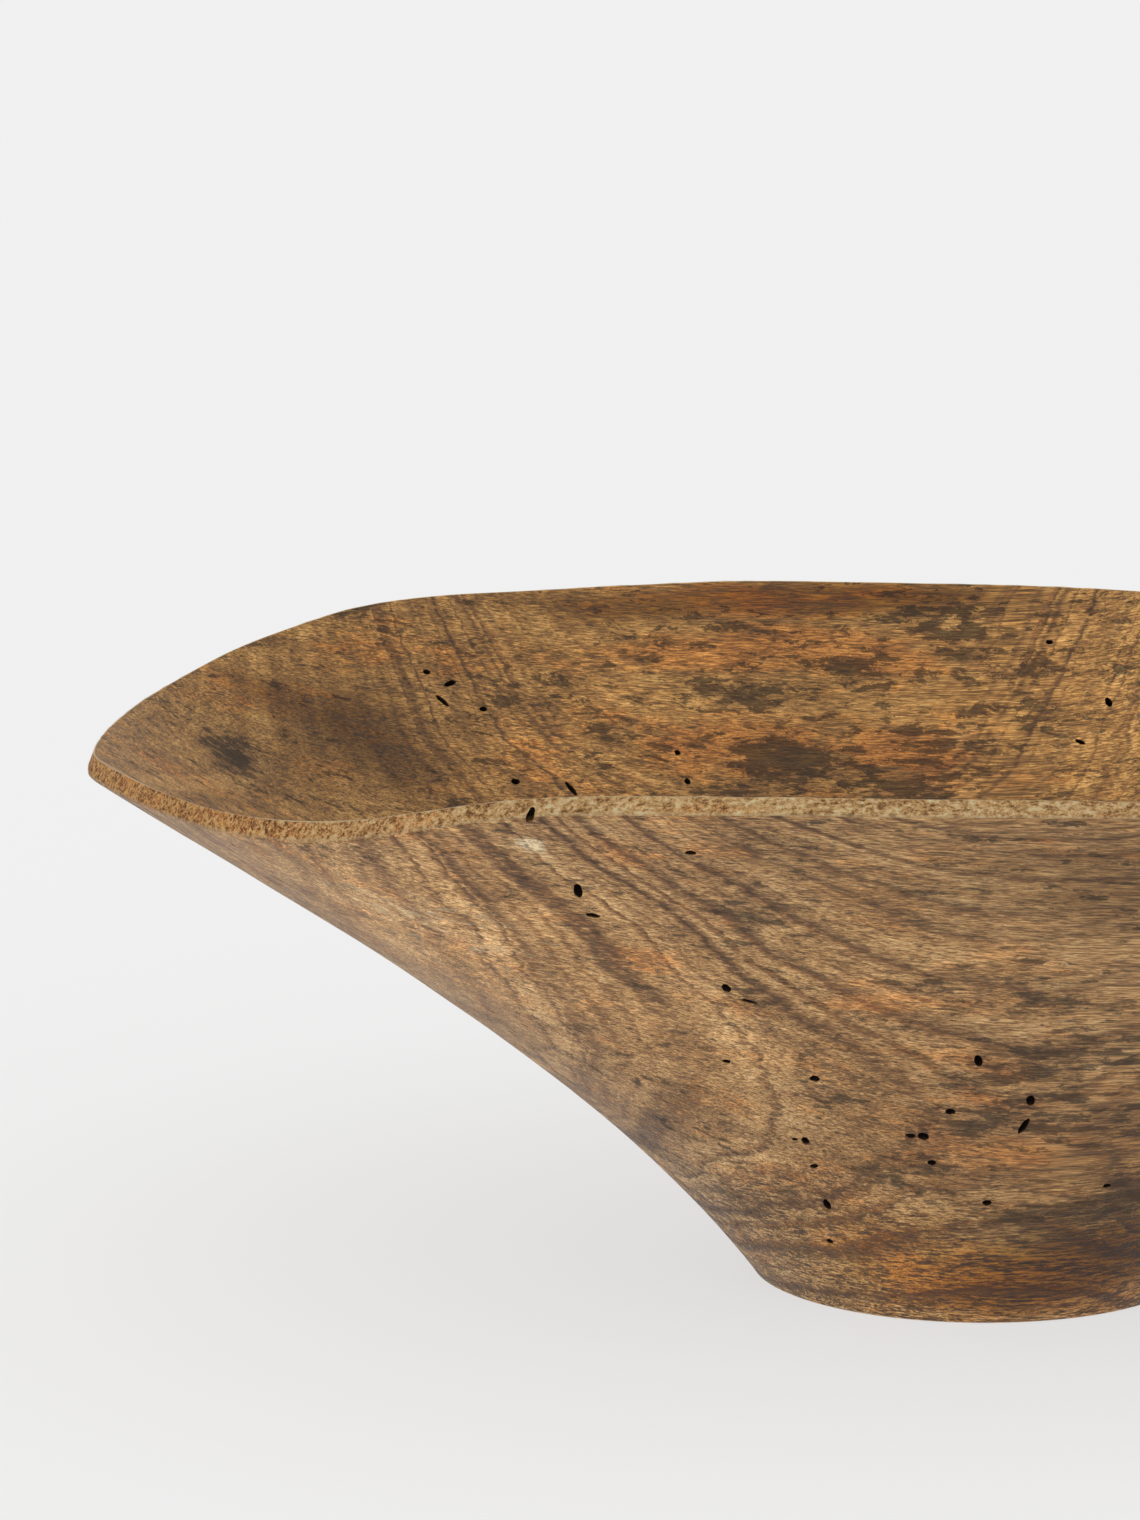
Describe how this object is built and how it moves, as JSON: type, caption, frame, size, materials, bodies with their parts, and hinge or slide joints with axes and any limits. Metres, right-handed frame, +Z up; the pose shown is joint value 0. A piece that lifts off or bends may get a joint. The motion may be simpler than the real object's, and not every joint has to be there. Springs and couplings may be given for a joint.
{
  "type": "feed scoop",
  "caption": "Carved wooden feed scoop: a deep flared bowl with a broad blunt pouring lip, a thin flat-cut rim and a small round flat foot.",
  "frame": {"origin": "centre of the foot's flat face, on the surface the scoop stands on", "axes": "+X from the pouring lip towards the back, +Y across the scoop, +Z up"},
  "size_m": [0.4351, 0.3422, 0.1642],
  "materials": {
    "old_wood": "dry aged hardwood, smoothed by use, with grey and black fungal stains and a rougher orange-brown cut rim"
  },
  "bodies": {
    "root": {"scoop_bowl": "old_wood"}
  },
  "joints": []
}
